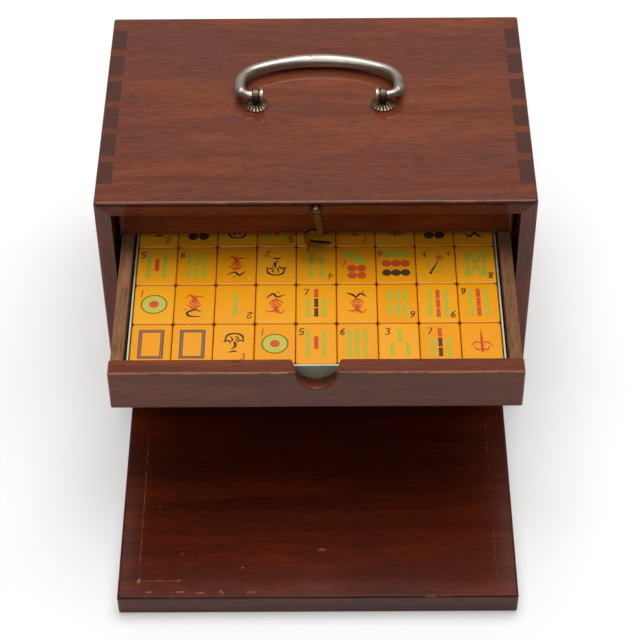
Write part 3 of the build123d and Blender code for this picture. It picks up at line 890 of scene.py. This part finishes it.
# Parts of a shape: how the brush is pressed along each stroke, and the strokes.
red_roof = [
    ([0.6, 1.6, 0.6], [[(-3.7, 0.2), (0.2, 3.2), (4.0, 0.4)]]),
    ([0.6, 1.2, 0.6], [[(-2.8, -1.8), (0.1, 1.4), (3.0, -1.9)],
                       [(-2.2, -3.4), (0.0, -0.8), (2.5, -3.5)]]),
]
red_legs = [
    ([1.4, 1.2, 0.3], [[(0.2, -3.8), (-2.0, -6.0), (-5.6, -5.2)],
                       [(0.4, -4.0), (2.6, -7.2), (5.4, -4.6)]]),
    ([1.0, 0.5], [[(0.0, -4.6), (0.4, -7.4)]]),
]
wind_knot = [
    ([0.6, 1.3, 1.0, 1.4, 0.6], [[(-4.8, 2.2), (-3.4, 6.6), (0.8, 7.8), (4.4, 6.2), (5.4, 2.4)]]),
    ([0.7, 1.1, 0.4], [[(-5.6, 1.4), (-3.0, 2.6), (-1.4, 0.2)],
                       [(5.6, 1.6), (3.0, 2.8), (1.8, 0.6)]]),
    ([0.5, 1.0, 0.5], [[(-1.8, 5.8), (-0.6, 3.0), (-2.0, 1.6)],
                       [(0.6, 5.6), (2.4, 4.4), (0.8, 2.4)]]),
    ([1.3, 1.5, 0.4], [[(0.4, 1.6), (1.0, -1.6), (-1.2, -3.8)]]),
    ([0.4, 1.2, 0.5], [[(-2.8, -6.4), (0.0, -5.4), (2.0, -5.8)]]),
]


def written(marks, number):
    """A black sweep over a red knot, and a faint number."""
    sweep(marks, [([0.5, 1.5, 1.3, 0.4], black_sweeps[number % len(black_sweeps)])], BLACK)
    sweep(marks, red_roof, RED)
    marks.disc(0.1, -3.2, 1.3, RED, 10)
    sweep(marks, red_legs, RED)
    digit(marks, str(number), -8.0, 9.0, FAINT, line=0.5)


def wind(marks, number):
    """One large black knot, and a small red number in the corner."""
    sweep(marks, wind_knot, BLACK)
    digit(marks, str(number), 5.2, -9.2, RED, height=4.2, line=0.75)


def spear(marks, kind):
    """A red spear with two pairs of leaves."""
    marks.stroke([(0.0, 9.6), (0.0, 2.0), (0.2, -7.4)], [0.4, 1.0, 1.5, 1.5, 1.1], RED, steps=6)
    for side in (-1, 1):
        upper = [(0.4 * side, -0.6), (3.2 * side, 0.6), (6.0 * side, -3.0)]
        lower = [(0.4 * side, -4.6), (2.8 * side, -5.2), (4.2 * side, -2.6)]
        sweep(marks, [([0.6, 1.1, 0.3], [upper]), ([0.8, 1.2, 0.3], [lower])], RED)


def blank(marks, kind):
    """A double frame."""
    marks.frame(13.8, 21.4, 1.05, GREY)
    marks.frame(11.3, 18.9, 0.75, GREY)


def blossom(marks, number):
    """A stem with leaves and an open flower, between two plain numbers."""
    marks.stroke([(-3.4, -7.4), (-0.6, -1.4), (1.6, 3.4)], [1.6, 0.8, 0.5], BLACK)
    leaves = [
        [(-2.6, -5.6), (0.6, -6.4), (2.6, -4.6)], [(-2.0, -4.2), (-4.6, -1.8), (-4.0, 1.4)],
        [(0.0, -0.6), (3.0, -1.6), (5.2, 0.0)],
    ]
    sweep(marks, [([0.4, 1.5, 0.3], leaves)], GREEN)
    for step in range(5):
        way = math.radians(72 * step + 12)
        marks.disc(2.2 + 1.6 * math.cos(way), 5.4 + 1.6 * math.sin(way), 1.05, ROSE, 9)
    marks.disc(2.2, 5.4, 0.8, RED, 9)
    digit(marks, str(number), -6.4, 8.4)
    digit(marks, str(number), 7.2, 9.0, RED, height=3.6)


print("honours: brush shapes, winds, spears, frames and blossoms")

# %% [markdown]
# ## Laying out the drawers
# The second drawer is the open one, so its tiles are laid out one by one, some of them upside
# down, as they happen to have been put away. The rest of the drawers are filled by a seeded
# shuffle, which gives the same order each time. The flat marks of a whole drawer become one
# mesh, with a thickness that carries them a little way down into the tiles.

# %% Marks
open_drawer_rows = [
    "W2 D4 W1* B5* D1 W3 S0 D4 C7*",
    "B5 B6 C9* W2* B4* D7 D9 F4 B8*",
    "D1 C8* B2* C6 B7 C7 B6* B9* B9",
    "K0 K0 W3 D1 B5 B6 B3 B7 S0",
]
every_kind = (
    "D1 D4 D7 D9 B2 B3 B4 B5 B6 B7 B8 B9 C2 C3 C4 C5 C6 C7 C8 C9 W1 W2 W3 W4 S0 K0 F1 F2"
).split()
painters = {"B": bamboo, "D": dots, "C": written, "W": wind, "S": spear, "K": blank, "F": blossom}
inlay_depth = 0.25 * MM
inlay_above = 0.012 * MM


def painted_marks(words, places):
    """One mesh with the marks of every tile; a star turns the tile round."""
    made = bmesh.new()
    for word, place in zip(words, places):
        marks = Marks()
        painters[word[0]](marks, int(word[1]))
        if word.endswith("*"):
            place = place @ Matrix.Rotation(math.pi, 4, "Z")
        piece = bpy.data.meshes.new("marks")
        scaled = place @ Matrix.Scale(MM, 4)
        bmesh.ops.transform(marks.shape, matrix=scaled, verts=marks.shape.verts)
        marks.shape.to_mesh(piece)
        marks.shape.free()
        made.from_mesh(piece)
        bpy.data.meshes.remove(piece)
    downward = [face for face in made.faces if face.normal.z < 0]
    bmesh.ops.reverse_faces(made, faces=downward)
    bmesh.ops.solidify(made, geom=made.faces, thickness=inlay_depth)
    return made


def tops(node, columns, rows, gap):
    """Where the marks go: the middle of the top of each thing in a packed grid."""
    feet, size = grid_of(node, columns, rows, gap)
    return [Matrix.Translation((foot.x, foot.y, foot.z + size.z + inlay_above)) for foot in feet]


for number in tiled_drawers:
    words = " ".join(open_drawer_rows[::-1]).split()
    shuffle = random.Random(40 + number)
    if number != open_drawer:
        words = [shuffle.choice(every_kind) + shuffle.choice(["", "*"]) for word in words]
    places = tops(f"drawer_{number}_tiles", tile_columns, tile_rows, tile_gap)
    marks = painted_marks(words, places)
    print(f"marks in drawer {number}: {len(marks.faces)} faces")
    piece_name = f"marks_in_drawer_{number}"
    new_piece(piece_name, marks, paints, f"drawer_{number}")

# %% [markdown]
# ## Counters and dice
# The lowest drawer holds what the players score with: flat bone sticks, marked near the middle
# with coloured dots for their worth, and four small dice. Bone yellows where it is touched and
# keeps fine dark pores along its length. The dots and pips are cut and filled like the marks
# of the tiles, so they are made by the same means.

# %% Counters and dice
bone, tree, shader = start_finish("old_bone")
place = add_node(tree, "TexCoord").outputs["Object"]
yellowed = remap(tree, noise(tree, place, 40.0, 4.0, 0.6), 0.35, 0.65)
colour = mix(tree, yellowed, rgb(0.76, 0.70, 0.54), rgb(0.66, 0.54, 0.33))
pores = noise(tree, drawn_out(tree, place, "x", 50, 0.1), 1500.0, 2.0)
pitted = remap(tree, pores, 0.62, 0.72, 0.0, 0.6)
feed(tree, shader, {
    "Base Color": mix(tree, pitted, colour, rgb(0.30, 0.20, 0.10)),
    "Roughness": remap(tree, yellowed, 0.0, 1.0, 0.32, 0.45),
    "Normal": bump(tree, pores, 0.2, 0.1 * MM),
})
dress(["drawer_5_counters", "drawer_5_dice"], bone)

# Dots on a stick and pips on a die, in mm from the middle of each.
stick_dots = {
    1: [(0.0, 0.0, RED)],
    2: [(-1.6, 0.0, BLACK), (1.6, 0.0, BLACK)],
    5: [(x, y, RED) for x, y in ((-3.2, 0.0), (-1.6, 1.4), (-1.6, -1.4), (1.6, 0.0), (3.2, 1.4))],
    8: [(x, y, BLACK) for x in (-3.9, -1.3, 1.3, 3.9) for y in (-1.2, 1.2)],
}
pip_places = {
    1: [(0, 0)], 2: [(-1, -1), (1, 1)], 3: [(-1, -1), (0, 0), (1, 1)],
    4: [(-1, -1), (1, -1), (-1, 1), (1, 1)], 5: [(-1, -1), (1, -1), (0, 0), (-1, 1), (1, 1)],
    6: [(-1, -1), (-1, 0), (-1, 1), (1, -1), (1, 0), (1, 1)],
}


def tally(marks, worth):
    """The dots of a counting stick."""
    for x, y, paint_number in stick_dots[worth]:
        marks.disc(x, y, 0.75, paint_number, 10)


def pips(marks, value):
    """The pips of one side of a die; ones and fours are red."""
    radius = 1.5 if value == 1 else 0.85
    paint_number = RED if value in (1, 4) else BLACK
    for x, y in pip_places[value]:
        marks.disc(2.5 * x, 2.5 * y, radius, paint_number, 12)


painters.update({"T": tally, "P": pips})
counter_columns = 2
counter_gap = 0.8 * MM
counter_width = 7.6 * MM
dice_count = 4
dice_gap = 3.0 * MM
counters_low, counters_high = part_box("drawer_5_counters")
counters_deep = counters_high.y - counters_low.y
counter_rows = round((counters_deep + counter_gap) / (counter_width + counter_gap))
stick_places = tops("drawer_5_counters", counter_columns, counter_rows, counter_gap)
die_places = tops("drawer_5_dice", 1, dice_count, dice_gap)
of_each = math.ceil(len(stick_places) / len(stick_dots))
stick_words = [f"T{worth}" for worth in stick_dots for place in range(of_each)]
score_words = stick_words[:len(stick_places)] + "P3 P1 P6 P4".split()
score_marks = painted_marks(score_words, stick_places + die_places)
print("sticks on top:", len(stick_places), "faces of their marks:", len(score_marks.faces))
new_piece("marks_in_drawer_5", score_marks, paints, "drawer_5")

# %% [markdown]
# ## Metal
# Three metals meet on this case. The handle is nickel plate, cloudy with age. The posts,
# rosettes, screws and hook are brass that has gone brown, lighter where it is touched. The
# trays in the drawers are tinned sheet. A metal is mostly the look of its reflections, so one
# recipe mixes two tones by slow noise, and lets the same noise dull the shine in patches.

# %% Metal recipe
def metal(name, clean, tarnished, smooth, rough, scale=180.0, tarnish=0.5, metallic=1.0):
    """A plated or bare metal. tarnish is how much of it has turned."""
    made, tree, shader = start_finish(name)
    place = add_node(tree, "TexCoord").outputs["Object"]
    clouds = noise(tree, place, scale, 4.0, 0.6)
    grains = noise(tree, place, 6.0 * scale, 2.0, 0.6)
    turned = remap(tree, clouds, 0.75 - 0.5 * tarnish, 0.95 - 0.5 * tarnish)
    turned = maths(tree, "ADD", turned, remap(tree, grains, 0.6, 0.8, 0.0, 0.4))
    feed(tree, shader, {
        "Base Color": mix(tree, turned, clean, tarnished),
        "Roughness": remap(tree, turned, 0.0, 1.2, smooth, rough),
        "Metallic": metallic,
        "Normal": bump(tree, clouds, 0.2, 0.15 * MM),
    })
    return made


nickel = metal("nickel_plate", rgb(0.49, 0.44, 0.385), rgb(0.24, 0.19, 0.15), 0.38, 0.52, 140.0, 0.4)
brown_brass = metal(
    "brown_brass", rgb(0.13, 0.092, 0.056), rgb(0.05, 0.032, 0.021), 0.34, 0.5, 400.0,
)
sheet_metal = metal(
    "tinned_sheet", rgb(0.60, 0.64, 0.48), rgb(0.34, 0.37, 0.27), 0.35, 0.55, 60.0, 0.45, 0.25,
)
tray_names = [f"drawer_{number}_liner" for number in drawer_numbers]
dress(tray_names, sheet_metal)
dress(["handle_end_caps"], nickel)
dress(["handle_left_post", "handle_right_post", "catch_screw", "hook_screw"], brown_brass)
print("metals on", len(tray_names) + 5, "nodes")

# %% [markdown]
# ## Rosettes
# Each handle post stands on a small domed washer with flutes cut all round, like a daisy. The
# hollows of the flutes are painted dark, as painted shade, so that the ridges between them read
# bright. The flutes run out from the middle, so the finish works out the angle round each post
# and lays the dark tone along twenty spokes.

# %% Rosettes
post_low, post_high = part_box("handle_left_rosette")
right_low, right_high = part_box("handle_right_rosette")
left_centre = (post_low + post_high) / 2
right_centre = (right_low + right_high) / 2
middle = (left_centre + right_centre) / 2
post_offset = (right_centre.x - left_centre.x) / 2
flute_count = 20

rosette_metal = metal(
    "fluted_brass", rgb(0.27, 0.19, 0.12), rgb(0.14, 0.085, 0.05), 0.42, 0.55, 400.0, 0.4,
)
tree = rosette_metal.node_tree
_, x, y, z = where(tree)
aside = maths(tree, "ABSOLUTE", maths(tree, "SUBTRACT", x, middle.x))
spoke_x = maths(tree, "SUBTRACT", aside, post_offset)
angle = maths(tree, "ARCTAN2", maths(tree, "SUBTRACT", y, middle.y), spoke_x)
wave = maths(tree, "COSINE", product(tree, angle, float(flute_count)))
# Painted shade: a near-black tone along twenty spokes, for the hollows of the flutes.
overlay(rosette_metal, remap(tree, wave, -0.1, 0.5, 0.0, 0.95), rgb(0.035, 0.018, 0.012))
dress(["handle_left_rosette", "handle_right_rosette"], rosette_metal)
print("rosettes", round(2 * post_offset / MM, 1), "mm apart")

# %% [markdown]
# ## Handle
# The handle is one forged bar: a round pin at each end, a tight bend, a collar, and a bow that
# thickens towards the middle, where the hand takes it. It is drawn by walking along half its
# centre line with a ring of edges. Each step extrudes the ring, turns it, and sets its radius.
# Then the half is mirrored, and the bow is tilted down to rest just above the lid.

# %% Handle
pin_radius = 2.6 * MM
collar_radius = 3.15 * MM
crown_bar_radius = 4.0 * MM
bend_turn = 7.0 * MM
bow_half_width = 45.6 * MM
bow_reach = 35.2 * MM
shoulder_turn = 17.8 * MM
crown_turn = 80.5 * MM
pin_tip = 32.0 * MM           # from the middle of the handle
rest_tilt = math.radians(4.56)
ring_sides = 28

crown_middle = bow_reach - crown_turn
shoulder_middle_x = bow_half_width - shoulder_turn
shoulder_rise = math.sqrt((crown_turn - shoulder_turn) ** 2 - shoulder_middle_x**2)
shoulder_angle = math.atan2(shoulder_rise, shoulder_middle_x)
crown_angle = math.pi / 2 - shoulder_angle
pin_length = bow_half_width - bend_turn - pin_tip
collar_at = math.radians(50)       # through the tight bend
collar_step = 0.15 * MM
after_collar = math.pi / 2 - collar_at
straight_length = crown_middle + shoulder_rise - bend_turn - collar_step

# Each move: how far forward, how far round, in how many steps, and the radii it goes between.
mid_radius = 3.3 * MM
moves = [
    (pin_length, 0.0, 3, pin_radius, pin_radius),
    (bend_turn * collar_at, collar_at, 6, pin_radius, pin_radius),
    (collar_step, 0.0, 1, pin_radius, collar_radius),
    (bend_turn * after_collar, after_collar, 5, collar_radius, collar_radius),
    (straight_length, 0.0, 2, collar_radius, collar_radius),
    (shoulder_turn * shoulder_angle, shoulder_angle, 12, collar_radius, mid_radius),
    (crown_turn * crown_angle, crown_angle, 22, mid_radius, crown_bar_radius),
]
bar = bmesh.new()
pin_end = bmesh.ops.create_circle(bar, cap_ends=True, segments=ring_sides, radius=pin_radius)
ring = pin_end["verts"]
bmesh.ops.rotate(bar, verts=ring, matrix=Matrix.Rotation(math.pi / 2, 3, "Y"))
position = Vector((pin_tip, 0.0, 0.0))
bmesh.ops.translate(bar, verts=ring, vec=position)
heading, radius = 0.0, pin_radius
for length, turn, steps, start_radius, end_radius in moves:
    for step in range(1, steps + 1):
        rim = [edge for edge in bar.edges if all(vert in ring for vert in edge.verts)]
        grown = bmesh.ops.extrude_edge_only(bar, edges=rim)
        ring = [part for part in grown["geom"] if isinstance(part, bmesh.types.BMVert)]
        halfway = heading + turn / steps / 2
        forward_step = length / steps * Vector((math.cos(halfway), math.sin(halfway), 0.0))
        heading += turn / steps
        next_radius = start_radius + (end_radius - start_radius) * step / steps
        bmesh.ops.translate(bar, verts=ring, vec=-position)
        bmesh.ops.scale(bar, verts=ring, vec=Vector((1, 1, 1)) * (next_radius / radius))
        bmesh.ops.rotate(bar, verts=ring, matrix=Matrix.Rotation(turn / steps, 3, "Z"))
        radius = next_radius
        position += forward_step
        bmesh.ops.translate(bar, verts=ring, vec=position)
for vert in ring:
    vert.co.x = 0.0
half_bar = bar.verts[:] + bar.edges[:] + bar.faces[:]
bmesh.ops.mirror(bar, geom=half_bar, axis="X", merge_dist=0.01 * MM)
bmesh.ops.recalc_face_normals(bar, faces=bar.faces)
for face in bar.faces:
    face.smooth = len(face.verts) == 4
eye_low, eye_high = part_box("handle_end_caps")
pivot = Vector((middle.x, (eye_low.y + eye_high.y) / 2, (eye_low.z + eye_high.z) / 2))
settle = Matrix.Translation(pivot) @ Matrix.Rotation(-rest_tilt, 4, "X")
bmesh.ops.transform(bar, matrix=settle, verts=bar.verts)
bow_top = max(vert.co.y for vert in bar.verts) - pivot.y
new_piece("handle_bow", bar, [nickel], "handle", ["handle_bail"])
print("handle reaches back", round(bow_top / MM, 1), "mm from its pivot")

# %% [markdown]
# ## Hook
# The hook was sawn from brass plate and filed round until it felt smooth in the hand. The
# imported one has crisp edges. A copy of it is merged, its flat faces are joined up again, and a
# Bevel modifier does the filing.

# %% Hook
def merged_copy(node_name):
    """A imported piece's mesh as one closed shell with whole faces, ready for bevels."""
    made = bmesh.new()
    made.from_mesh(nodes[node_name].data)
    bmesh.ops.remove_doubles(made, verts=made.verts, dist=0.002 * MM)
    nearly_flat = math.radians(0.5)
    bmesh.ops.dissolve_limit(made, angle_limit=nearly_flat, verts=made.verts, edges=made.edges)
    return made


hook_brass = metal(
    "hook_brass", rgb(0.090, 0.068, 0.045), rgb(0.036, 0.024, 0.015), 0.3, 0.45, 300.0, 0.45,
)
crisp_hook = merged_copy("hook_latch")
hook = new_piece("filed_hook", crisp_hook, [hook_brass], "hook", ["hook_latch"])
filing = hook.modifiers.new("filing", "BEVEL")
filing.width = 0.8 * MM
filing.segments = 4
filing.limit_method = "ANGLE"
filing.angle_limit = math.radians(50)
for face in hook.data.polygons:
    face.use_smooth = True
print("hook faces before filing:", len(hook.data.polygons))
